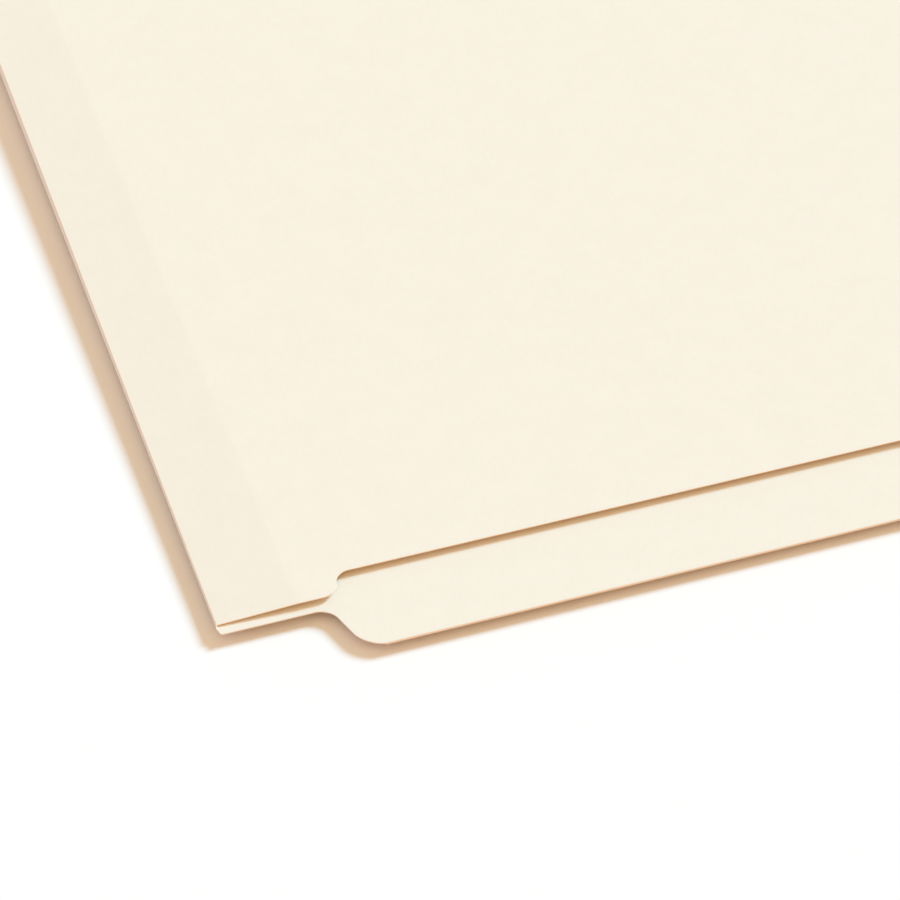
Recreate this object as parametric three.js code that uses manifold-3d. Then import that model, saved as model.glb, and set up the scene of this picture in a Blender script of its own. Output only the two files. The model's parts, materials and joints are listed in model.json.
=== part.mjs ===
// An end tab fastener folder, closed and lying flat, in millimetres, +Z up.
// One sheet of manila board makes the back leaf, the fold, three spine strips between score lines
// and the front leaf. Each leaf carries a two-prong fastener inside, at the end away from the tab.
// X runs from the fold to the free edge, Y along the fold from the tab end, Z up.

import * as THREE from 'three';
import { mergeVertices } from 'three/addons/utils/BufferGeometryUtils.js';
import Module from 'manifold-3d';

const wasm = await Module();
wasm.setup();

// Board and leaves
const BOARD = 0.28;
const BACK_WIDTH = 241.3;
const FRONT_WIDTH = 238.1;
const BODY_LENGTH = 298.45;
const LEAF_CORNER = 6.35;
const FOLD_CORNER = 0.6;

// End tab and its cut-back near the fold
const TAB_DEPTH = 12.7;
const TAB_CORNER = 9.5;
const NOTCH_START = 19.7;
const NOTCH_ROUND = 4.2;
const NOTCH_SWEEP = 6.8;
const NOTCH_SLOPE = THREE.MathUtils.degToRad(72);
const NOTCH_END_SLOPE = THREE.MathUtils.degToRad(17.5);

// Reinforcing ply, folded under along the tab's outer edge
const PLY_SETBACK = 2.2;
const PLY_WIDTH = 31.75;

// Score lines, counted from the fold
const SCORE_FIRST = 5.4;
const SCORE_PITCH = 5.8;
const SCORE_COUNT = 3;

// Front leaf's edge at the tab end
const RECESS = 2.42;
const UNDERCUT = 8.3;
const STEP_MARGIN = 5.3;
const STEP_LOW_ROUND = 3.7;
const STEP_HIGH_ROUND = 3.3;

// How the closed front leaf lies: gaps over the tab, inside the fold and between the fasteners
const TAB_GAP = 0.92;
const FOLD_GAP = 0.12;
const FACING_GAP = 0.2;

// The fold bulges sideways by this share of what it gains in height
const FOLD_SWELL = 0.12;

// Prong base, one strip of steel
const FASTENER_END = 22.2;
const PRONG_SPACING = 69.85;
const PRONG_LENGTH = 50.8;
const PRONG_WIDTH = 4.4;
const BASE_WIDTH = 6;
const STRIP_STEEL = 0.25;

// Paper patch over the base
const PATCH_OVERHANG = 15.9;
const PATCH_WIDTH = 19;
const PATCH_PAPER = 0.13;
const PATCH_RAMP = 1.2;

// Compressor bar
const BAR_OVERHANG = 9.5;
const BAR_WIDTH = 9.5;
const BAR_STEEL = 0.3;
const BAR_LIP = 0.3;
const BAR_LIP_HEIGHT = 0.25;

// Sliding locks
const LOCK_STEEL = 0.22;
const LOCK_LENGTH = 9;
const LOCK_LIP = 1;
const LOCK_SETBACK = 6;
const DIMPLE_RADIUS = 1.6;
const DIMPLE_DEPTH = 0.1;

// Clearances between layers, round a prong in its slot, and beside a lock
const LAYER_GAP = 0.05;
const SLOT_GAP = 0.5;
const SIDE_GAP = 0.1;

// Facets
const ARC_STEPS = 8;
const FOLD_STEPS = 10;
const BEND_STEPS = 6;

// Heights of a fastener's layers above the leaf that carries it
const BASE_TOP = LAYER_GAP + STRIP_STEEL;
const PATCH_RISE = STRIP_STEEL + LAYER_GAP;
const PATCH_TOP = BASE_TOP + LAYER_GAP + PATCH_PAPER;
const BAR_BOTTOM = PATCH_TOP + LAYER_GAP;
const BAR_TOP = BAR_BOTTOM + BAR_STEEL;
const LOW_PRONG = BAR_TOP + LAYER_GAP;
const HIGH_PRONG = LOW_PRONG + STRIP_STEEL + LAYER_GAP;
const LOCK_INNER = HIGH_PRONG + STRIP_STEEL + LAYER_GAP;
const LOCK_TOP = LOCK_INNER + LOCK_STEEL;
const LOCK_HALF_WIDTH = BAR_WIDTH / 2 + SIDE_GAP + LOCK_STEEL;

// The fasteners sit in the middle of the front leaf's flat part, at the end away from the tab.
const LAST_SCORE = SCORE_FIRST + SCORE_PITCH * (SCORE_COUNT - 1);
const FASTENER_X = (LAST_SCORE + FRONT_WIDTH) / 2;
const FASTENER_Y = BODY_LENGTH - FASTENER_END;
const LOCK_REST = PRONG_SPACING / 2 - SLOT_GAP - LOCK_SETBACK - LOCK_LENGTH / 2;
const BEND_REACH = (HIGH_PRONG - LAYER_GAP + STRIP_STEEL) / 2;

// The front leaf rises from the tab end until the two facing fasteners clear each other.
const RISE = (2 * LOCK_TOP + FACING_GAP - TAB_GAP) / (FASTENER_Y - LOCK_HALF_WIDTH - UNDERCUT);
const LIE_ANGLE = Math.atan(RISE);
const FRONT_BOTTOM = BOARD + TAB_GAP - RISE * UNDERCUT;

// The spine strips slope down from the last score by this drop to the pinched fold.
const PINCH = FRONT_BOTTOM + RISE * RECESS - BOARD - FOLD_GAP;
const foldHeight = (y) => FRONT_BOTTOM - PINCH + BOARD + RISE * y;
const foldBulge = (y) => BOARD + FOLD_GAP / 2 + FOLD_SWELL * (foldHeight(y) - foldHeight(0));
const FOLD_REACH = foldBulge(BODY_LENGTH);

// The leaf's own edge lies inside the nose that the ply's fold makes along the tab.
const TAB_EDGE = TAB_DEPTH - BOARD;

// The notch's straight run takes up the tab's depth that its two rounds leave.
const NOTCH_ROUND_DROP = NOTCH_ROUND * (1 - Math.cos(NOTCH_SLOPE));
const NOTCH_SWEEP_DROP = NOTCH_SWEEP * (Math.cos(NOTCH_END_SLOPE) - Math.cos(NOTCH_SLOPE));
const NOTCH_RUN = (TAB_EDGE - NOTCH_ROUND_DROP - NOTCH_SWEEP_DROP) / Math.sin(NOTCH_SLOPE);
const TAB_START = NOTCH_START + NOTCH_ROUND * Math.sin(NOTCH_SLOPE)
  + NOTCH_RUN * Math.cos(NOTCH_SLOPE)
  + NOTCH_SWEEP * (Math.sin(NOTCH_SLOPE) - Math.sin(NOTCH_END_SLOPE));

// The front leaf's step is two rounds that meet, and turns as far as its rise needs.
const STEP_SLOPE = Math.acos(1 - (UNDERCUT - RECESS) / (STEP_LOW_ROUND + STEP_HIGH_ROUND));

const manila = new THREE.MeshStandardMaterial({ color: 0xf7eedd, roughness: 0.85, metalness: 0 });
const patchPaper = new THREE.MeshStandardMaterial({ color: 0xf3e8d2, roughness: 0.9, metalness: 0 });
const steel = new THREE.MeshStandardMaterial({ color: 0xc9cacb, roughness: 0.35, metalness: 1 });

// A closed solid from a geometry whose faces share their corners
function solidOf(geometry) {
  const bare = geometry.clone();
  bare.deleteAttribute('normal');
  bare.deleteAttribute('uv');
  const merged = mergeVertices(bare, 1e-5);
  return new wasm.Manifold(new wasm.Mesh({
    numProp: 3,
    vertProperties: new Float32Array(merged.attributes.position.array),
    triVerts: new Uint32Array(merged.index.array),
  }));
}

function geometryOf(solid) {
  const mesh = solid.getMesh();
  const geometry = new THREE.BufferGeometry();
  geometry.setAttribute('position', new THREE.BufferAttribute(mesh.vertProperties, 3));
  geometry.setIndex(new THREE.BufferAttribute(mesh.triVerts, 1));
  geometry.computeVertexNormals();
  return geometry;
}

function piece(name, geometry, material) {
  const mesh = new THREE.Mesh(geometry, material);
  mesh.name = name;
  return mesh;
}

// A flat plate: an outline in X and Y, from bottom upwards
function plate(outline, thickness, bottom = 0) {
  const geometry = new THREE.ExtrudeGeometry(outline, {
    depth: thickness, bevelEnabled: false, curveSegments: ARC_STEPS,
  });
  return geometry.translate(0, 0, bottom);
}

// A strip along Y, from a section whose outline is drawn in X and Z
function alongY(section, start, end) {
  const geometry = new THREE.ExtrudeGeometry(section, {
    depth: end - start, bevelEnabled: false, curveSegments: ARC_STEPS,
  });
  return geometry.rotateX(Math.PI / 2).translate(0, end, 0);
}

// A strip along X, from a section whose outline is drawn in Y and Z
function alongX(section, start, end) {
  const geometry = new THREE.ExtrudeGeometry(section, {
    depth: end - start, bevelEnabled: false, curveSegments: ARC_STEPS,
  });
  return geometry.rotateX(Math.PI / 2).rotateZ(Math.PI / 2).translate(start, 0, 0);
}

function box(x0, x1, y0, y1, z0, z1) {
  const geometry = new THREE.BoxGeometry(x1 - x0, y1 - y0, z1 - z0);
  return geometry.translate((x0 + x1) / 2, (y0 + y1) / 2, (z0 + z1) / 2);
}

// A pen that adds lines and tangent arcs to an outline, heading by angle
function pen(outline, x, y, heading) {
  const at = { x, y, heading };
  outline.moveTo(x, y);
  const draw = {
    line(length) {
      at.x += length * Math.cos(at.heading);
      at.y += length * Math.sin(at.heading);
      outline.lineTo(at.x, at.y);
      return draw;
    },
    to(px, py) {
      at.x = px;
      at.y = py;
      outline.lineTo(px, py);
      return draw;
    },
    // Turns left when the angle is positive
    arc(radius, angle) {
      const side = Math.sign(angle);
      const normal = at.heading + side * Math.PI / 2;
      const cx = at.x + radius * Math.cos(normal);
      const cy = at.y + radius * Math.sin(normal);
      const from = normal + Math.PI;
      outline.absarc(cx, cy, radius, from, from + angle, side < 0);
      at.x = cx + radius * Math.cos(from + angle);
      at.y = cy + radius * Math.sin(from + angle);
      at.heading += angle;
      return draw;
    },
    heading(angle) {
      at.heading = angle;
      return draw;
    },
    at,
  };
  return draw;
}

const QUARTER = Math.PI / 2;

function backLeaf() {
  const outline = new THREE.Shape();
  const draw = pen(outline, FOLD_CORNER, 0, 0).to(NOTCH_START, 0);
  draw.arc(NOTCH_ROUND, -NOTCH_SLOPE).line(NOTCH_RUN).arc(NOTCH_SWEEP, NOTCH_SLOPE - NOTCH_END_SLOPE);
  draw.to(BACK_WIDTH - TAB_CORNER, -TAB_EDGE).heading(0).arc(TAB_CORNER, QUARTER);
  draw.to(BACK_WIDTH, BODY_LENGTH - LEAF_CORNER).arc(LEAF_CORNER, QUARTER);
  draw.to(0, BODY_LENGTH).to(0, FOLD_CORNER).heading(-QUARTER).arc(FOLD_CORNER, QUARTER);
  return piece('back_leaf', plate(outline, BOARD), manila);
}

// The folded-under ply and the round nose that its fold makes along the tab's edge
function tabPly() {
  const start = TAB_START + PLY_SETBACK;
  const straightEnd = BACK_WIDTH - TAB_CORNER;
  const outline = new THREE.Shape();
  const draw = pen(outline, start, -TAB_EDGE, 0).to(straightEnd, -TAB_EDGE);
  draw.arc(TAB_CORNER, QUARTER).to(BACK_WIDTH, PLY_WIDTH - TAB_DEPTH).to(start, PLY_WIDTH - TAB_DEPTH);
  const ply = plate(outline, BOARD, -BOARD);
  const nose = new THREE.Shape();
  nose.moveTo(-TAB_EDGE, -BOARD);
  nose.absarc(-TAB_EDGE, 0, BOARD, -QUARTER, QUARTER, true);
  // The notch's edge runs on at its end slope through the thickness of the nose.
  const edge = alongX(nose, TAB_START + BOARD / Math.tan(NOTCH_END_SLOPE), straightEnd);
  return piece('tab_ply', geometryOf(solidOf(ply).add(solidOf(edge))), manila);
}

// The fold is a tight bend that grows taller with the leaves' distance but hardly bulges, with its
// near end cut on the slant from the back leaf's edge to the front leaf's.
function foldLoop() {
  const ring = [];
  for (const station of ['near', 'far']) {
    for (const layer of ['outer', 'inner']) {
      for (let i = 0; i <= FOLD_STEPS; i++) {
        const share = i / FOLD_STEPS;
        const slant = FOLD_CORNER + (RECESS - FOLD_CORNER) * share;
        const y = station === 'near' ? slant : BODY_LENGTH;
        const inset = layer === 'outer' ? 0 : BOARD;
        const middle = foldHeight(y) / 2;
        const angle = Math.PI * share;
        const x = share === 1 ? 0 : -(foldBulge(y) - inset) * Math.sin(angle);
        ring.push([x, y, middle - (middle - inset) * Math.cos(angle)]);
      }
    }
  }
  const count = FOLD_STEPS + 1;
  const at = (station, layer, i) => (station * 2 + layer) * count + i;
  const faces = [];
  const quad = (a, b, c, d) => faces.push(a, b, c, a, c, d);
  for (let i = 0; i < FOLD_STEPS; i++) {
    quad(at(0, 0, i), at(0, 0, i + 1), at(1, 0, i + 1), at(1, 0, i));
    quad(at(0, 1, i + 1), at(0, 1, i), at(1, 1, i), at(1, 1, i + 1));
    quad(at(0, 1, i), at(0, 1, i + 1), at(0, 0, i + 1), at(0, 0, i));
    quad(at(1, 0, i), at(1, 0, i + 1), at(1, 1, i + 1), at(1, 1, i));
  }
  quad(at(0, 1, 0), at(0, 0, 0), at(1, 0, 0), at(1, 1, 0));
  quad(at(0, 0, FOLD_STEPS), at(0, 1, FOLD_STEPS), at(1, 1, FOLD_STEPS), at(1, 0, FOLD_STEPS));
  const geometry = new THREE.BufferGeometry();
  geometry.setAttribute('position', new THREE.Float32BufferAttribute(ring.flat(), 3));
  geometry.setIndex(faces);
  geometry.computeVertexNormals();
  return piece('fold', geometry, manila);
}

// Spine strips slope up from the pinched fold to the front leaf's level at the last score.
function spineStrip(index) {
  const from = index === 0 ? 0 : SCORE_FIRST + SCORE_PITCH * (index - 1);
  const to = SCORE_FIRST + SCORE_PITCH * index;
  const level = (x) => -PINCH * (1 - x / LAST_SCORE);
  const section = new THREE.Shape([
    new THREE.Vector2(from, level(from)),
    new THREE.Vector2(to, level(to)),
    new THREE.Vector2(to, level(to) + BOARD),
    new THREE.Vector2(from, level(from) + BOARD),
  ]);
  return piece(`spine_strip_${index + 1}`, alongY(section, RECESS, BODY_LENGTH), manila);
}

function frontLeaf() {
  const outline = new THREE.Shape();
  const draw = pen(outline, LAST_SCORE, RECESS, 0).to(LAST_SCORE + STEP_MARGIN, RECESS);
  draw.arc(STEP_LOW_ROUND, STEP_SLOPE).arc(STEP_HIGH_ROUND, -STEP_SLOPE);
  draw.to(FRONT_WIDTH - LEAF_CORNER, UNDERCUT).heading(0).arc(LEAF_CORNER, QUARTER);
  draw.to(FRONT_WIDTH, BODY_LENGTH - LEAF_CORNER).arc(LEAF_CORNER, QUARTER);
  draw.to(LAST_SCORE, BODY_LENGTH);
  return piece('front_leaf', plate(outline, BOARD), manila);
}

// A bar with round ends
function roundBar(halfLength, halfWidth) {
  const outline = new THREE.Shape();
  const straight = halfLength - halfWidth;
  outline.moveTo(-straight, -halfWidth);
  outline.lineTo(straight, -halfWidth);
  outline.absarc(straight, 0, halfWidth, -QUARTER, QUARTER, false);
  outline.lineTo(-straight, halfWidth);
  outline.absarc(-straight, 0, halfWidth, QUARTER, 3 * QUARTER, false);
  return outline;
}

// One prong: it leaves the base's end, turns up and back in a half round, and lies over the bar.
function prong(side, level) {
  const bend = (level - LAYER_GAP) / 2;
  const middle = LAYER_GAP + STRIP_STEEL / 2 + bend;
  const end = PRONG_SPACING / 2;
  const section = new THREE.Shape();
  const outer = bend + STRIP_STEEL / 2;
  const inner = bend - STRIP_STEEL / 2;
  section.moveTo(end, middle - outer);
  section.absarc(end, middle, outer, -QUARTER, QUARTER, false);
  section.lineTo(end, middle + inner);
  section.absarc(end, middle, inner, QUARTER, -QUARTER, true);
  const halfWidth = PRONG_WIDTH / 2;
  const turn = new THREE.ExtrudeGeometry(section, {
    depth: PRONG_WIDTH, bevelEnabled: false, curveSegments: BEND_STEPS,
  }).rotateX(QUARTER).translate(0, halfWidth, 0);
  const tip = end - PRONG_LENGTH + halfWidth;
  const outline = new THREE.Shape();
  outline.moveTo(end, halfWidth);
  outline.lineTo(tip, halfWidth);
  outline.absarc(tip, 0, halfWidth, QUARTER, 3 * QUARTER, false);
  outline.lineTo(end, -halfWidth);
  const arm = plate(outline, STRIP_STEEL, level);
  const solid = solidOf(turn).add(solidOf(arm));
  return side > 0 ? solid : solid.rotate([0, 0, 180]);
}

function prongBase() {
  const end = PRONG_SPACING / 2;
  const strip = box(-end, end, -PRONG_WIDTH / 2, PRONG_WIDTH / 2, LAYER_GAP, BASE_TOP);
  const web = box(
    -end + BASE_WIDTH, end - BASE_WIDTH, -BASE_WIDTH / 2, BASE_WIDTH / 2, LAYER_GAP, BASE_TOP,
  );
  const solid = solidOf(strip).add(solidOf(web)).add(prong(-1, LOW_PRONG)).add(prong(1, HIGH_PRONG));
  return geometryOf(solid);
}

// A slot through a layer, wide enough for a prong's bend
function slot(side, bottom, top) {
  const x0 = side * (PRONG_SPACING / 2 - SLOT_GAP);
  const x1 = side * (PRONG_SPACING / 2 + BEND_REACH + SLOT_GAP);
  const half = PRONG_WIDTH / 2 + SLOT_GAP;
  return solidOf(box(Math.min(x0, x1), Math.max(x0, x1), -half, half, bottom, top));
}

// Paper patch, flat on the leaf and raised over the base
function patch() {
  const reach = PRONG_SPACING / 2 + BEND_REACH + SIDE_GAP;
  const end = PRONG_SPACING / 2 + PATCH_OVERHANG;
  const halfBase = BASE_WIDTH / 2 + SIDE_GAP;
  const xs = [-end, -reach - PATCH_RAMP, -reach, reach, reach + PATCH_RAMP, end];
  const ys = [-PATCH_WIDTH / 2, -halfBase - PATCH_RAMP / 2, -halfBase, halfBase,
    halfBase + PATCH_RAMP / 2, PATCH_WIDTH / 2];
  const raised = (i, j) => i > 1 && i < 4 && j > 1 && j < 4;
  const vertices = [];
  for (const lift of [0, PATCH_PAPER]) {
    ys.forEach((y, j) => xs.forEach((x, i) => {
      vertices.push(x, y, LAYER_GAP + lift + (raised(i, j) ? PATCH_RISE : 0));
    }));
  }
  const nx = xs.length;
  const ny = ys.length;
  const at = (layer, i, j) => layer * nx * ny + j * nx + i;
  const faces = [];
  const quad = (a, b, c, d) => faces.push(a, b, c, a, c, d);
  for (let j = 0; j < ny - 1; j++) {
    for (let i = 0; i < nx - 1; i++) {
      quad(at(1, i, j), at(1, i + 1, j), at(1, i + 1, j + 1), at(1, i, j + 1));
      quad(at(0, i, j + 1), at(0, i + 1, j + 1), at(0, i + 1, j), at(0, i, j));
    }
    quad(at(0, 0, j), at(1, 0, j), at(1, 0, j + 1), at(0, 0, j + 1));
    quad(at(0, nx - 1, j + 1), at(1, nx - 1, j + 1), at(1, nx - 1, j), at(0, nx - 1, j));
  }
  for (let i = 0; i < nx - 1; i++) {
    quad(at(0, i, 0), at(0, i + 1, 0), at(1, i + 1, 0), at(1, i, 0));
    quad(at(1, i, ny - 1), at(1, i + 1, ny - 1), at(0, i + 1, ny - 1), at(0, i, ny - 1));
  }
  const sheet = new THREE.BufferGeometry();
  sheet.setAttribute('position', new THREE.Float32BufferAttribute(vertices, 3));
  sheet.setIndex(faces);
  let solid = solidOf(sheet);
  for (const side of [-1, 1]) {
    solid = solid.subtract(slot(side, 0, BAR_TOP));
  }
  return geometryOf(solid);
}

// Compressor bar with round ends, two slots and a low lip along each long edge
function compressor() {
  const end = PRONG_SPACING / 2 + BAR_OVERHANG;
  let solid = solidOf(plate(roundBar(end, BAR_WIDTH / 2), BAR_STEEL, BAR_BOTTOM));
  const lipEnd = end - BAR_WIDTH / 2;
  for (const side of [-1, 1]) {
    const outer = side * BAR_WIDTH / 2;
    const inner = outer - side * BAR_LIP;
    const lip = box(
      -lipEnd, lipEnd, Math.min(outer, inner), Math.max(outer, inner), BAR_BOTTOM, BAR_TOP + BAR_LIP_HEIGHT,
    );
    solid = solid.add(solidOf(lip)).subtract(slot(side, 0, LOCK_TOP));
  }
  return geometryOf(solid);
}

// Sliding lock: a clip that wraps the bar and the prongs on it, with a dimple for a fingernail
function lock() {
  const outer = LOCK_HALF_WIDTH;
  const inner = outer - LOCK_STEEL;
  const hook = outer - LOCK_LIP;
  const lipTop = BAR_BOTTOM - LAYER_GAP;
  const lipBottom = lipTop - LOCK_STEEL;
  const section = new THREE.Shape([
    new THREE.Vector2(-hook, lipBottom),
    new THREE.Vector2(-hook, lipTop),
    new THREE.Vector2(-inner, lipTop),
    new THREE.Vector2(-inner, LOCK_INNER),
    new THREE.Vector2(inner, LOCK_INNER),
    new THREE.Vector2(inner, lipTop),
    new THREE.Vector2(hook, lipTop),
    new THREE.Vector2(hook, lipBottom),
    new THREE.Vector2(outer, lipBottom),
    new THREE.Vector2(outer, LOCK_TOP),
    new THREE.Vector2(-outer, LOCK_TOP),
    new THREE.Vector2(-outer, lipBottom),
  ]);
  const clip = solidOf(alongX(section, -LOCK_LENGTH / 2, LOCK_LENGTH / 2));
  const dimple = new THREE.Shape();
  dimple.absarc(0, 0, DIMPLE_RADIUS, 0, 2 * Math.PI, false);
  return geometryOf(clip.subtract(solidOf(plate(dimple, LOCK_TOP, LOCK_TOP - DIMPLE_DEPTH))));
}

// A whole fastener, its layers stacked up from the leaf's inner face
function fastener(leaf) {
  const group = new THREE.Group();
  group.add(piece(`${leaf}_prong_base`, prongBase(), steel));
  group.add(piece(`${leaf}_patch`, patch(), patchPaper));
  group.add(piece(`${leaf}_compressor`, compressor(), steel));
  for (const [side, word] of [[-1, 'near'], [1, 'far']]) {
    const clip = piece(`${leaf}_lock_${word}`, lock(), steel);
    clip.position.x = side * LOCK_REST;
    group.add(clip);
  }
  group.position.set(FASTENER_X, FASTENER_Y, 0);
  return group;
}

const folder = new THREE.Group();
folder.add(backLeaf(), tabPly(), foldLoop());

const backFastener = fastener('back');
backFastener.position.z = BOARD;
folder.add(backFastener);

const cover = new THREE.Group();
cover.position.z = FRONT_BOTTOM;
cover.rotation.x = LIE_ANGLE;
for (let index = 0; index < SCORE_COUNT; index++) {
  cover.add(spineStrip(index));
}
cover.add(frontLeaf());
const frontFastener = fastener('front');
frontFastener.rotation.x = Math.PI;
cover.add(frontFastener);
folder.add(cover);

// The origin is under the middle of the closed folder, level with the ply's underside.
folder.position.set((FOLD_REACH - BACK_WIDTH) / 2, (TAB_DEPTH - BODY_LENGTH) / 2, BOARD);

export default folder;
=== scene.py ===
"""The looks of an end tab fastener folder that lies closed on a pale floor."""

import json
from math import acos, atan2, cos, pi, radians, sin, tan

import bmesh
import bpy
from mathutils import Matrix, Vector


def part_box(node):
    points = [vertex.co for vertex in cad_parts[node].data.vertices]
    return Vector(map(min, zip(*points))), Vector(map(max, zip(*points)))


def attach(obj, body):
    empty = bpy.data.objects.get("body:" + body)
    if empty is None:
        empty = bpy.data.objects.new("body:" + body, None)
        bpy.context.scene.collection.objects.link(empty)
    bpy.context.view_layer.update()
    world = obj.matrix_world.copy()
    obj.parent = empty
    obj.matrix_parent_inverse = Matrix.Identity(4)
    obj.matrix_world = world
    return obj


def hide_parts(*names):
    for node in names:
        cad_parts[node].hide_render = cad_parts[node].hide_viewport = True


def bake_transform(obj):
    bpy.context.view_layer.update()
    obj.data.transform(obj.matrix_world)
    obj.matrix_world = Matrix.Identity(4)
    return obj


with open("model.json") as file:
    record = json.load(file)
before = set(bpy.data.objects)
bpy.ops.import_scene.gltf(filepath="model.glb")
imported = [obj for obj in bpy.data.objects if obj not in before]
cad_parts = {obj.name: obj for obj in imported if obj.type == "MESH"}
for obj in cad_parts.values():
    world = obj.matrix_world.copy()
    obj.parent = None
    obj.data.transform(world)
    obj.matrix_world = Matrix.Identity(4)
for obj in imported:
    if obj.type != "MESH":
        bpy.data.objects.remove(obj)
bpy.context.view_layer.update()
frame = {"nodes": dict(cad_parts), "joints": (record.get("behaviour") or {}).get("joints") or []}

MM = 0.001
QUARTER = pi / 2

# Camera, from the photograph's vanishing points; it aims at a point on the back leaf's underside
CAMERA_AZIMUTH = radians(-18.5666)
CAMERA_ELEVATION = radians(42.5476)
CAMERA_DISTANCE = 649.58 * MM
CAMERA_FOCAL_MM = 122.023
CAMERA_SENSOR_MM = 36
CAMERA_CLIP_START = 0.01
CAMERA_CLIP_END = 20
AIM_FROM_FOLD = 60.92 * MM
AIM_FROM_EDGE = 37.36 * MM

# Key light: how far a point's shadow falls for each millimetre of its height, and what it adds
SHADOW_ACROSS = 1.65
SHADOW_ALONG = 0.85
KEY_LIGHT = (0.27, 0.468, 0.62)
KEY_SOFTNESS = radians(15)

# Fill light: the colour of the sky overhead, and of its low part towards each side. The low light in
# front is warm, so that the gap under the cover glows.
FILL_ABOVE = (0.67, 0.535, 0.335)
FILL_FRONT = (1.55, 0.55, 0.03)
FILL_BACK = (0.60, 0.66, 0.64)
FILL_LEFT = (0.95, 0.80, 1.10)
FILL_RIGHT = (0.70, 0.38, 0.20)
LOW_SKY_ENDS = (0.35, 0.70)

# The floor: how far it lies under the folder, its size, and its colour for light and for the eye
FLOOR_DROP = 1.5 * MM
FLOOR_SIZE = 6
FLOOR_PALE = (0.8, 0.8, 0.8)
FLOOR_WHITE = (1.0, 1.0, 1.0)

# Places of a Mix node's colours among its sockets
COLOUR_INPUT = {"A": 6, "B": 7}
COLOUR_OUTPUT = 2

# The back leaf's outline, as it was cut
FOLD_CORNER = 0.6 * MM
NOTCH_START = 19.7 * MM
NOTCH_ROUND = 4.2 * MM
NOTCH_SWEEP = 6.8 * MM
NOTCH_SLOPE = radians(72)
NOTCH_END_SLOPE = radians(17.5)
TAB_CORNER = 9.5 * MM
LEAF_CORNER = 6.35 * MM
PLY_SETBACK = 2.2 * MM

# The cover's near edge, its step, and the fold's shape
RECESS = 2.42 * MM
UNDERCUT = 8.3 * MM
STEP_MARGIN = 5.3 * MM
STEP_LOW_ROUND = 3.7 * MM
STEP_HIGH_ROUND = 3.3 * MM
FOLD_GAP = 0.12 * MM
FOLD_SWELL = 0.12

# Finish of the sheet's cut edges, the tab's round folded edge and the pressed scores
EDGE_SOFTNESS = 0.035 * MM
EDGE_SEGMENTS = 2
NOSE_SEGMENTS = 8
NOSE_ROUND = 0.95
SHARP_ANGLE = radians(50)
SCORE_WIDTH = 0.7 * MM
SCORE_DEPTH = 0.004 * MM
SCORE_STEPS = 12
ARC_SEGMENTS = 24
FOLD_SLICES = 12
FOLD_STEPS = 16

# A face of a fold slice that looks further along the fold than this is one of the slice's ends
END_FACING = 0.5

# Places nearer than the first are the same, and a cut nearer to a corner than the second meets it
TOUCH = 1e-7
CUT_TOUCH = 1e-8

# Manila board: cream stock with a faint cloud and fibres. Patterns are in features per metre.
MANILA_LIGHT = (0.943, 0.886, 0.774)
MANILA_DARK = (0.929, 0.872, 0.760)
FIBRE_LIGHT = (1.0, 1.0, 1.0)
FIBRE_DARK = (0.985, 0.98, 0.975)
CLOUD_SCALE = 160
FIBRE_SCALE = 1500
FIBRE_STRETCH = (1.0, 0.35, 1.0)
FIBRE_TURN = 0.2
GRAIN_SCALE = 3200
BOARD_ROUGHNESS = 0.85
BOARD_GLOSS = 0.1
BOARD_BUMP = 0.25

# Patch paper
PATCH_DARK = (0.80, 0.72, 0.57)
PATCH_LIGHT = (0.86, 0.79, 0.65)
PATCH_FIBRE_SCALE = 1100
PATCH_FIBRE_STRETCH = (0.3, 1.0, 1.0)
PATCH_ROUGHNESS = 0.8
PATCH_BUMP = 0.3

# Plated steel
STEEL_DARK = (0.60, 0.60, 0.60)
STEEL_LIGHT = (0.72, 0.71, 0.69)
DRAWN_LINE_SCALE = 2600
DRAWN_LINE_STRETCH = (0.04, 1.0, 1.0)
STEEL_ROUGHNESS = (0.24, 0.38)

# What all patterns share
PATTERN_ROUGHNESS = 0.6
RAMP_START = 0.3
RAMP_END = 0.7
BUMP_HEIGHT = 0.02 * MM

# Places read off the frame
back_low, back_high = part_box("back_leaf")
front_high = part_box("front_leaf")[1]
ply_low, ply_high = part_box("tab_ply")
strip_boxes = [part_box(f"spine_strip_{number}") for number in (1, 2, 3)]
joints = {joint["name"]: joint for joint in frame["joints"]}
cover_axis = Vector(joints["score_3"]["axis"])
last_score = Vector(joints["score_3"]["pos_m"])
fold_top = Vector(joints["spine_expand"]["pos_m"])

BOARD = back_high.z - back_low.z
FOLD_X = back_low.x
FREE_X = back_high.x
SHEET_Y = last_score.y
SHEET_LOW = back_low.z
TAB_Y = ply_low.y
FAR_Y = back_high.y
PLY_FAR_Y = ply_high.y
SCORES = [high.x for low, high in strip_boxes]

# The cover lies at this angle, and its spine slopes down by this drop to the pinched fold.
LIE_ANGLE = atan2(-cover_axis.z, -cover_axis.y)
PINCH = last_score.z + BOARD - fold_top.z

# The cover's own frame: flat on its underside, turned to the angle at which it lies
COVER = Matrix.Translation((0, SHEET_Y, last_score.z)) @ Matrix.Rotation(LIE_ANGLE, 4, "X")
COVER_LENGTH = FAR_Y - SHEET_Y


def new_object(name, mesh_builder, material):
    """An object at the origin from a bmesh that is already in its place."""
    mesh = bpy.data.meshes.new(name)
    mesh_builder.to_mesh(mesh)
    mesh_builder.free()
    piece = bpy.data.objects.new(name, mesh)
    bpy.context.scene.collection.objects.link(piece)
    mesh.materials.append(material)
    return piece


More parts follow.
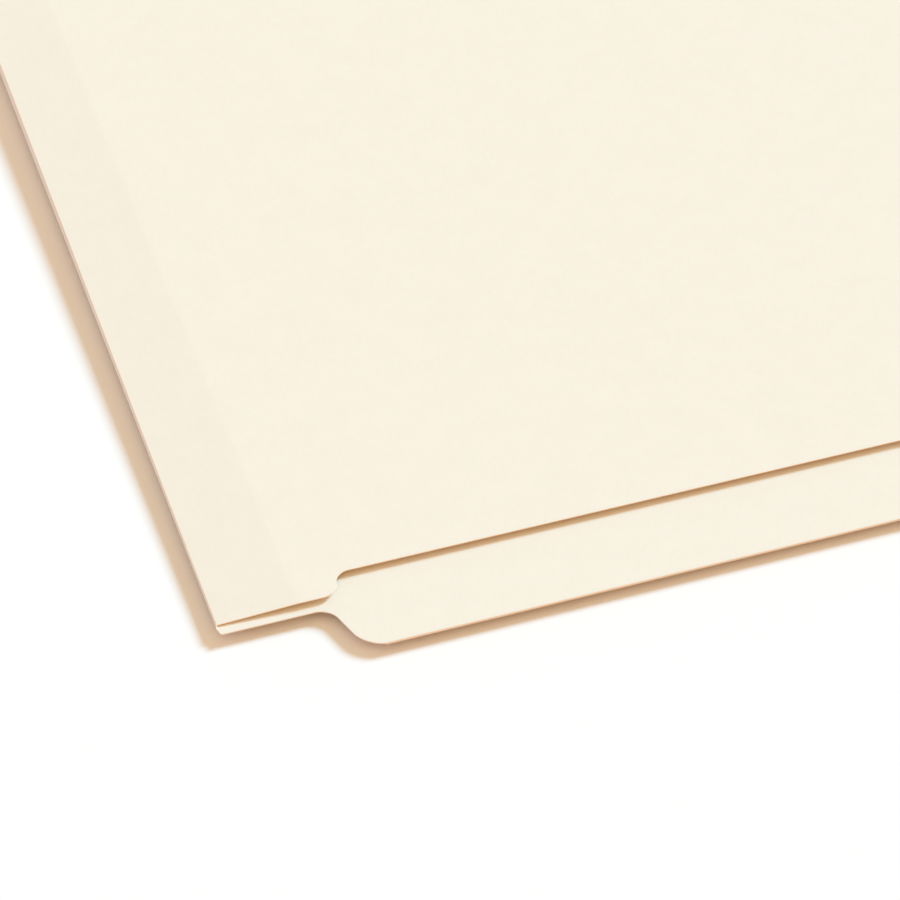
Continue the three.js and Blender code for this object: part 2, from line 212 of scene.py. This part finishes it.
def flat_outline(corners):
    """A face in the XY plane from (x, y, round) corners, each rounded by its own radius."""
    builder = bmesh.new()
    points = [Vector((x, y, 0)) for x, y, _ in corners]
    rounds = [radius for _, _, radius in corners]
    verts = [builder.verts.new(point) for point in points]
    builder.faces.new(verts)
    for index, radius in enumerate(rounds):
        if not radius:
            continue
        before = points[index] - points[index - 1]
        after = points[(index + 1) % len(points)] - points[index]
        turn = before.angle(after)
        bmesh.ops.bevel(
            builder, geom=[verts[index]], offset=radius * tan(turn / 2), affect="VERTICES",
            segments=ARC_SEGMENTS, profile=0.5, material=-1,
        )
    return builder


def cut_across(builder, places):
    """Cuts the mesh by planes of constant X."""
    for place in places:
        bmesh.ops.bisect_plane(
            builder, geom=builder.verts[:] + builder.edges[:] + builder.faces[:],
            plane_co=(place, 0, 0), plane_no=(1, 0, 0), dist=CUT_TOUCH,
        )


def thicken(builder, thickness):
    """Gives a flat sheet its thickness, upwards, with its faces pointing out."""
    bmesh.ops.recalc_face_normals(builder, faces=builder.faces[:])
    if builder.faces[0].normal.z > 0:
        bmesh.ops.reverse_faces(builder, faces=builder.faces[:])
    bmesh.ops.solidify(builder, geom=builder.faces[:], thickness=thickness)
    bmesh.ops.recalc_face_normals(builder, faces=builder.faces[:])


def round_edges(builder, edges, radius, segments):
    """Rounds edges of a sheet by one radius."""
    bmesh.ops.bevel(
        builder, geom=edges, offset=radius, affect="EDGES", segments=segments, profile=0.5,
        material=-1, clamp_overlap=True,
    )


def soften_edges(builder, keep_sharp):
    """Takes the sharpness off the cut edges, but leaves the edges where two pieces of the sheet meet."""
    edges = []
    for edge in builder.edges:
        if len(edge.link_faces) != 2 or edge.calc_face_angle() < SHARP_ANGLE:
            continue
        if not all(keep_sharp(vert.co) for vert in edge.verts):
            edges.append(edge)
    round_edges(builder, edges, EDGE_SOFTNESS, EDGE_SEGMENTS)


def node_tree(name):
    """A new material, with its node tree, its shader and the object's coordinates."""
    material = bpy.data.materials.new(name)
    material.use_nodes = True
    tree = material.node_tree
    coordinates = add_node(tree, "ShaderNodeTexCoord").outputs["Object"]
    return material, tree, tree.nodes["Principled BSDF"], coordinates


def add_node(tree, kind, **settings):
    """A new node with its settings, such as its operation."""
    node = tree.nodes.new(kind)
    for key, value in settings.items():
        setattr(node, key, value)
    return node


def noise(tree, coordinates, scale, detail, stretch=(1, 1, 1), turn=0.0):
    """Noise on object coordinates, in features per metre, drawn out along one direction."""
    mapping = add_node(tree, "ShaderNodeMapping")
    mapping.inputs["Scale"].default_value = stretch
    mapping.inputs["Rotation"].default_value = (0, 0, turn)
    tree.links.new(coordinates, mapping.inputs["Vector"])
    texture = add_node(tree, "ShaderNodeTexNoise")
    texture.inputs["Scale"].default_value = scale
    texture.inputs["Detail"].default_value = detail
    texture.inputs["Roughness"].default_value = PATTERN_ROUGHNESS
    tree.links.new(mapping.outputs["Vector"], texture.inputs["Vector"])
    return texture.outputs["Fac"]


def ramp(tree, factor, low, high):
    """A colour between two, by a factor."""
    node = add_node(tree, "ShaderNodeValToRGB")
    for element, place, colour in zip(node.color_ramp.elements, (RAMP_START, RAMP_END), (low, high)):
        element.position = place
        element.color = (*colour, 1)
    tree.links.new(factor, node.inputs["Fac"])
    return node.outputs["Color"]


def multiply(tree, first, second):
    """One colour times another."""
    node = add_node(tree, "ShaderNodeMix", data_type="RGBA", blend_type="MULTIPLY")
    node.inputs["Factor"].default_value = 1
    tree.links.new(first, node.inputs[COLOUR_INPUT["A"]])
    tree.links.new(second, node.inputs[COLOUR_INPUT["B"]])
    return node.outputs[COLOUR_OUTPUT]


def roughen(tree, shader, height, strength):
    """A fine bump from a pattern."""
    bump = add_node(tree, "ShaderNodeBump")
    bump.inputs["Strength"].default_value = strength
    bump.inputs["Distance"].default_value = BUMP_HEIGHT
    tree.links.new(height, bump.inputs["Height"])
    tree.links.new(bump.outputs["Normal"], shader.inputs["Normal"])


def manila_board():
    """Manila board: cream stock with a faint cloud, and fibres that lie mostly along the sheet."""
    material, tree, shader, coordinates = node_tree("manila board")
    cloud = noise(tree, coordinates, CLOUD_SCALE, detail=4)
    fibre = noise(tree, coordinates, FIBRE_SCALE, detail=3, stretch=FIBRE_STRETCH, turn=FIBRE_TURN)
    grain = noise(tree, coordinates, GRAIN_SCALE, detail=2)
    stock = ramp(tree, cloud, MANILA_DARK, MANILA_LIGHT)
    colour = multiply(tree, stock, ramp(tree, fibre, FIBRE_DARK, FIBRE_LIGHT))
    tree.links.new(colour, shader.inputs["Base Color"])
    shader.inputs["Roughness"].default_value = BOARD_ROUGHNESS
    shader.inputs["Specular IOR Level"].default_value = BOARD_GLOSS
    roughen(tree, shader, grain, BOARD_BUMP)
    return material


def patch_paper():
    """Thin kraft-toned paper over the fastener's base."""
    material, tree, shader, coordinates = node_tree("patch paper")
    fibre = noise(tree, coordinates, PATCH_FIBRE_SCALE, detail=4, stretch=PATCH_FIBRE_STRETCH)
    colour = ramp(tree, fibre, PATCH_DARK, PATCH_LIGHT)
    tree.links.new(colour, shader.inputs["Base Color"])
    shader.inputs["Roughness"].default_value = PATCH_ROUGHNESS
    roughen(tree, shader, fibre, PATCH_BUMP)
    return material


def plated_steel():
    """Bright plated strip, with the faint drawn lines of rolled steel."""
    material, tree, shader, coordinates = node_tree("plated steel")
    lines = noise(tree, coordinates, DRAWN_LINE_SCALE, detail=3, stretch=DRAWN_LINE_STRETCH)
    colour = ramp(tree, lines, STEEL_DARK, STEEL_LIGHT)
    tree.links.new(colour, shader.inputs["Base Color"])
    shader.inputs["Metallic"].default_value = 1
    rough = add_node(tree, "ShaderNodeMapRange")
    rough.inputs["To Min"].default_value = STEEL_ROUGHNESS[0]
    rough.inputs["To Max"].default_value = STEEL_ROUGHNESS[1]
    tree.links.new(lines, rough.inputs["Value"])
    tree.links.new(rough.outputs["Result"], shader.inputs["Roughness"])
    return material


manila = manila_board()
patch = patch_paper()
steel = plated_steel()


def notch_corners():
    """Corners of the S-shaped cut-back, and the place where it reaches the tab's outer edge."""
    upper = NOTCH_ROUND * tan(NOTCH_SLOPE / 2)
    lower = NOTCH_SWEEP * tan((NOTCH_SLOPE - NOTCH_END_SLOPE) / 2)
    edge_y = TAB_Y + BOARD
    slope_drop = SHEET_Y - edge_y - lower * sin(NOTCH_END_SLOPE)
    top_x = FOLD_X + NOTCH_START + upper
    low_x = top_x + slope_drop / tan(NOTCH_SLOPE)
    tab_start = low_x + lower * cos(NOTCH_END_SLOPE)
    return (top_x, SHEET_Y), (low_x, SHEET_Y - slope_drop), tab_start


def round_nose(builder, side):
    """Rounds the tab's folded edge, on the upper (max) or the lower (min) side of a sheet."""
    height = side(vert.co.z for vert in builder.verts)
    edges = [
        edge for edge in builder.edges
        if all(abs(vert.co.y - TAB_Y) < TOUCH and abs(vert.co.z - height) < TOUCH for vert in edge.verts)
    ]
    round_edges(builder, edges, NOSE_ROUND * BOARD, NOSE_SEGMENTS)


def place_on_back(name, builder, node):
    """A piece of the sheet that lies still with the back leaf."""
    piece = new_object(name, builder, manila)
    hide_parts(node)
    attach(piece, "back")


def back_leaf_sheet():
    """The back leaf with its notch, its rounded corners and the round upper edge of its folded tab."""
    top_corner, low_corner, tab_start = notch_corners()
    nose_start = tab_start + BOARD / tan(NOTCH_END_SLOPE)
    builder = flat_outline([
        (FOLD_X, SHEET_Y, FOLD_CORNER),
        (*top_corner, NOTCH_ROUND),
        (*low_corner, NOTCH_SWEEP),
        (nose_start, TAB_Y, 0),
        (FREE_X, TAB_Y, TAB_CORNER),
        (FREE_X, FAR_Y, LEAF_CORNER),
        (FOLD_X, FAR_Y, 0),
    ])
    thicken(builder, BOARD)
    round_nose(builder, max)
    soften_edges(builder, keep_sharp=lambda co: co.x < FOLD_X + TOUCH or co.y < TAB_Y + BOARD)
    builder.transform(Matrix.Translation((0, 0, SHEET_LOW)))
    place_on_back("back_leaf_sheet", builder, "back_leaf")


def ply_sheet():
    """The ply folded under along the tab, with the round lower half of the fold's nose."""
    tab_start = notch_corners()[2]
    start = tab_start + PLY_SETBACK
    builder = flat_outline([
        (tab_start + BOARD / tan(NOTCH_END_SLOPE), TAB_Y, 0),
        (FREE_X, TAB_Y, TAB_CORNER),
        (FREE_X, PLY_FAR_Y, 0),
        (start, PLY_FAR_Y, 0),
        (start, TAB_Y + BOARD, 0),
    ])
    thicken(builder, BOARD)
    round_nose(builder, min)
    soften_edges(builder, keep_sharp=lambda co: co.y < TAB_Y + BOARD)
    builder.transform(Matrix.Translation((0, 0, ply_low.z)))
    place_on_back("ply_sheet", builder, "tab_ply")


def level(x):
    """Height of the cover's underside in its own frame: it slopes down to the pinched fold."""
    return -PINCH * max(0, SCORES[2] - x) / (SCORES[2] - FOLD_X)


def lower_to_level(builder):
    """Slopes a flat stretch of the cover down towards the fold."""
    for vert in builder.verts:
        vert.co.z += level(vert.co.x)


def score_places(score):
    """Places across a score at which the sheet needs an edge."""
    return [score + SCORE_WIDTH * (2 * step / SCORE_STEPS - 1) for step in range(SCORE_STEPS + 1)]


def press_score(builder, score):
    """A score is a shallow rounded groove in the outer face."""
    for vert in builder.verts:
        across = (vert.co.x - score) / SCORE_WIDTH
        if abs(across) < 1 and vert.co.z > level(vert.co.x) + BOARD / 2:
            vert.co.z -= SCORE_DEPTH * (1 + cos(pi * across)) / 2


def place_on_cover(name, builder, node):
    """A piece of the cover, turned to the angle at which the cover lies, in place of a CAD node that is
    hidden.
    """
    builder.transform(COVER)
    piece = new_object(name, builder, manila)
    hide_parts(node)
    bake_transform(piece)


def spine_sheet(name, start, end, score, node):
    """A stretch of the spine from the middle of one strip to the middle of the next."""
    builder = bmesh.new()
    places = sorted({place for place in (start, *score_places(score), end) if start <= place <= end})
    verts = [builder.verts.new((place, RECESS, 0)) for place in places]
    edges = [builder.edges.new(pair) for pair in zip(verts, verts[1:])]
    drawn = bmesh.ops.extrude_edge_only(builder, edges=edges)["geom"]
    moved = [item for item in drawn if isinstance(item, bmesh.types.BMVert)]
    bmesh.ops.translate(builder, verts=moved, vec=(0, COVER_LENGTH - RECESS, 0))
    thicken(builder, BOARD)
    lower_to_level(builder)
    press_score(builder, score)
    soften_edges(builder, keep_sharp=lambda co: min(abs(co.x - start), abs(co.x - end)) < TOUCH)
    place_on_cover(name, builder, node)


def front_leaf_sheet(start):
    """The front leaf from the last strip's middle, with its step and its undercut edge."""
    rise = UNDERCUT - RECESS
    slope = acos(1 - rise / (STEP_LOW_ROUND + STEP_HIGH_ROUND))
    first = SCORES[2] + STEP_MARGIN + STEP_LOW_ROUND * tan(slope / 2)
    second = first + rise / tan(slope)
    builder = flat_outline([
        (start, RECESS, 0),
        (first, RECESS, STEP_LOW_ROUND),
        (second, UNDERCUT, STEP_HIGH_ROUND),
        (front_high.x, UNDERCUT, LEAF_CORNER),
        (front_high.x, COVER_LENGTH, LEAF_CORNER),
        (start, COVER_LENGTH, 0),
    ])
    cut_across(builder, score_places(SCORES[2]))
    thicken(builder, BOARD)
    lower_to_level(builder)
    press_score(builder, SCORES[2])
    soften_edges(builder, keep_sharp=lambda co: abs(co.x - start) < TOUCH)
    place_on_cover("front_leaf_sheet", builder, "front_leaf")


def fold_height(y):
    """Outer height of the fold, which grows with the leaves' distance."""
    return fold_top.z - SHEET_LOW + (y - SHEET_Y) * tan(LIE_ANGLE)


def fold_bulge(y):
    """How far the fold stands out from the leaves' edge."""
    return BOARD + FOLD_GAP / 2 + FOLD_SWELL * (fold_height(y) - fold_height(SHEET_Y))


def half_round(builder, place, slant, inset):
    """Half an oval from the back leaf up to the spine. Its top may lie further along the fold."""
    verts_before = len(builder.verts)
    edges_before = len(builder.edges)
    lowest = builder.verts.new((0, 0, -1))
    bmesh.ops.spin(
        builder, geom=[lowest], cent=(0, 0, 0), axis=(0, 1, 0), angle=pi, steps=FOLD_STEPS,
    )
    for vert in builder.verts[verts_before:]:
        share = acos(max(-1, min(1, -vert.co.z))) / pi
        y = place + slant * share
        middle = fold_height(y) / 2
        x = FOLD_X + (fold_bulge(y) - inset) * vert.co.x
        vert.co = (x, y, SHEET_LOW + middle + (middle - inset) * vert.co.z)
    return builder.edges[edges_before:]


def dress_fold_slice(builder):
    """Rounds the shading over the bend, but not over the slice's ends and its long cut edges."""
    builder.normal_update()
    for face in builder.faces:
        across = abs(face.calc_center_median().x - FOLD_X) < TOUCH
        face.smooth = abs(face.normal.y) < END_FACING and not across
    for edge in builder.edges:
        edge.smooth = edge.calc_face_angle() < SHARP_ANGLE


def fold_slices():
    """The fold as short lengths, each shaped to the fold's height along its own stretch, in place of the
    CAD fold, which is hidden.
    """
    near_end = SHEET_Y + FOLD_CORNER
    slice_length = (FAR_Y - near_end) / FOLD_SLICES
    for index in range(FOLD_SLICES):
        near = near_end + slice_length * index
        slant = 0 if index else RECESS - FOLD_CORNER
        builder = bmesh.new()
        rings = [
            half_round(builder, near, slant, 0),
            half_round(builder, near + slice_length, 0, 0),
            half_round(builder, near + slice_length, 0, BOARD),
            half_round(builder, near, slant, BOARD),
        ]
        for first, second in zip(rings, rings[1:] + rings[:1]):
            bmesh.ops.bridge_loops(builder, edges=first + second)
        bmesh.ops.holes_fill(builder, edges=builder.edges[:], sides=len(rings))
        bmesh.ops.recalc_face_normals(builder, faces=builder.faces[:])
        dress_fold_slice(builder)
        piece = new_object(f"fold_bend_{index + 1:02d}", builder, manila)
        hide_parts("fold")
        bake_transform(piece)


def sheet_pieces():
    """The whole sheet. Its spine is cut in the middle of each strip, so each piece holds one bend."""
    back_leaf_sheet()
    ply_sheet()
    fold_slices()
    middles = [(low.x + high.x) / 2 for low, high in strip_boxes]
    spine_sheet(
        "spine_sheet_1", FOLD_X, middles[0], FOLD_X, "spine_strip_1",
    )
    spine_sheet(
        "spine_sheet_2", middles[0], middles[1], SCORES[0], "spine_strip_2",
    )
    spine_sheet(
        "spine_sheet_3", middles[1], middles[2], SCORES[1], "spine_strip_3",
    )
    front_leaf_sheet(middles[2])


def dress_nodes():
    """The CAD nodes that stay get their finish."""
    finishes = {}
    for leaf in ("back", "front"):
        finishes[f"{leaf}_patch"] = patch
        for name in ("prong_base", "compressor", "lock_near", "lock_far"):
            finishes[f"{leaf}_{name}"] = steel
    for name, material in finishes.items():
        mesh = frame["nodes"][name].data
        mesh.materials.clear()
        mesh.materials.append(material)


def seen_directly(tree):
    """One for what the camera sees, straight or in a surface, and nought for the rest."""
    path = add_node(tree, "ShaderNodeLightPath")
    mirrored = add_node(tree, "ShaderNodeMath", operation="ADD")
    tree.links.new(path.outputs["Is Camera Ray"], mirrored.inputs[0])
    tree.links.new(path.outputs["Is Glossy Ray"], mirrored.inputs[1])
    through = add_node(tree, "ShaderNodeMath", operation="ADD", use_clamp=True)
    tree.links.new(mirrored.outputs["Value"], through.inputs[0])
    tree.links.new(path.outputs["Is Transmission Ray"], through.inputs[1])
    return through.outputs["Value"]


def two_colours(tree, factor, first, second):
    """The first colour where the factor is nought, and the second where it is one."""
    node = add_node(tree, "ShaderNodeMix", data_type="RGBA")
    for name, colour in (("A", first), ("B", second)):
        if isinstance(colour, tuple):
            node.inputs[COLOUR_INPUT[name]].default_value = (*colour, 1)
        else:
            tree.links.new(colour, node.inputs[COLOUR_INPUT[name]])
    tree.links.new(factor, node.inputs["Factor"])
    return node.outputs[COLOUR_OUTPUT]


def floor():
    """A pale floor that shows white to the camera and keeps the folder's shadow."""
    bpy.ops.mesh.primitive_plane_add(size=FLOOR_SIZE, location=(0, 0, -FLOOR_DROP))
    plane = bpy.context.object
    plane.name = "floor"
    material = bpy.data.materials.new("floor")
    material.use_nodes = True
    tree = material.node_tree
    tree.nodes.clear()
    output = add_node(tree, "ShaderNodeOutputMaterial")
    diffuse = add_node(tree, "ShaderNodeBsdfDiffuse")
    shown = two_colours(tree, seen_directly(tree), FLOOR_PALE, FLOOR_WHITE)
    tree.links.new(shown, diffuse.inputs["Color"])
    tree.links.new(diffuse.outputs["BSDF"], output.inputs["Surface"])
    plane.data.materials.append(material)


def fade(tree, value, start, end):
    """Rises smoothly from nought at the start to one at the end."""
    node = add_node(tree, "ShaderNodeMapRange", interpolation_type="SMOOTHSTEP")
    node.inputs["From Min"].default_value = start
    node.inputs["From Max"].default_value = end
    tree.links.new(value, node.inputs["Value"])
    return node.outputs["Result"]


def calculate(tree, operation, first, second):
    """One step of arithmetic on nodes' outputs or plain numbers."""
    node = add_node(tree, "ShaderNodeMath", operation=operation)
    for socket, value in zip(node.inputs, (first, second)):
        if isinstance(value, (int, float)):
            socket.default_value = value
        else:
            tree.links.new(value, socket)
    return node.outputs["Value"]


def split(tree, vector):
    """The X, Y and Z of a vector."""
    node = add_node(tree, "ShaderNodeSeparateXYZ")
    tree.links.new(vector, node.inputs["Vector"])
    return node.outputs


def heading(tree, directions):
    """The level part of each direction, as X and Y of a vector of length one."""
    flat = add_node(tree, "ShaderNodeVectorMath", operation="MULTIPLY")
    tree.links.new(directions, flat.inputs[0])
    flat.inputs[1].default_value = (1, 1, 0)
    unit = add_node(tree, "ShaderNodeVectorMath", operation="NORMALIZE")
    tree.links.new(flat.outputs["Vector"], unit.inputs[0])
    return split(tree, unit.outputs["Vector"])


def add_colours(tree, colours_and_weights):
    """The sum of colours, each times its weight."""
    total = None
    for colour, weight in colours_and_weights:
        scaled = add_node(tree, "ShaderNodeVectorMath", operation="SCALE")
        scaled.inputs[0].default_value = colour
        tree.links.new(weight, scaled.inputs["Scale"])
        if total is None:
            total = scaled.outputs["Vector"]
            continue
        added = add_node(tree, "ShaderNodeVectorMath", operation="ADD")
        tree.links.new(total, added.inputs[0])
        tree.links.new(scaled.outputs["Vector"], added.inputs[1])
        total = added.outputs["Vector"]
    return total


def sky(tree):
    """A soft sky that has one colour overhead and its own colour low down towards each side."""
    directions = add_node(tree, "ShaderNodeTexCoord").outputs["Generated"]
    overhead = fade(tree, split(tree, directions)["Z"], *LOW_SKY_ENDS)
    low = calculate(tree, "SUBTRACT", 1, overhead)
    toward = heading(tree, directions)
    sides = (
        ("X", 1, FILL_RIGHT),
        ("X", -1, FILL_LEFT),
        ("Y", 1, FILL_BACK),
        ("Y", -1, FILL_FRONT),
    )
    parts = [(FILL_ABOVE, overhead)]
    for axis, sign, colour in sides:
        ahead = calculate(tree, "MAXIMUM", calculate(tree, "MULTIPLY", toward[axis], sign), 0)
        parts.append((colour, calculate(tree, "MULTIPLY", calculate(tree, "POWER", ahead, 2), low)))
    return add_colours(tree, parts)


def lights():
    """A key light from the far right, and a soft fill from all round."""
    toward = Vector((SHADOW_ACROSS, SHADOW_ALONG, 1)).normalized()
    key = bpy.data.lights.new("key", "SUN")
    strongest = max(KEY_LIGHT)
    # A sun of strength pi straight overhead lights a white surface to one.
    key.energy = pi * strongest / toward.z
    key.color = tuple(share / strongest for share in KEY_LIGHT)
    key.angle = KEY_SOFTNESS
    lamp = bpy.data.objects.new("key", key)
    lamp.rotation_euler = toward.to_track_quat("Z", "Y").to_euler()
    bpy.context.scene.collection.objects.link(lamp)

    world = bpy.data.worlds.new("fill")
    world.use_nodes = True
    tree = world.node_tree
    shown = two_colours(tree, seen_directly(tree), sky(tree), FLOOR_WHITE)
    tree.links.new(shown, tree.nodes["Background"].inputs["Color"])
    bpy.context.scene.world = world


def camera():
    """The photograph's view: a long lens that looks down across the fold's corner."""
    lens = bpy.data.cameras.new("camera")
    lens.lens = CAMERA_FOCAL_MM
    lens.sensor_width = CAMERA_SENSOR_MM
    lens.clip_start = CAMERA_CLIP_START
    lens.clip_end = CAMERA_CLIP_END
    view = bpy.data.objects.new("camera", lens)
    back = Vector((
        sin(CAMERA_AZIMUTH) * cos(CAMERA_ELEVATION),
        -cos(CAMERA_AZIMUTH) * cos(CAMERA_ELEVATION),
        sin(CAMERA_ELEVATION),
    ))
    aim = Vector((FOLD_X + AIM_FROM_FOLD, SHEET_Y + AIM_FROM_EDGE, SHEET_LOW))
    view.location = aim + back * CAMERA_DISTANCE
    view.rotation_euler = (QUARTER - CAMERA_ELEVATION, 0, CAMERA_AZIMUTH)
    bpy.context.scene.collection.objects.link(view)
    bpy.context.scene.camera = view


camera()
sheet_pieces()
dress_nodes()
floor()
lights()
bpy.context.scene.view_settings.view_transform = "Standard"
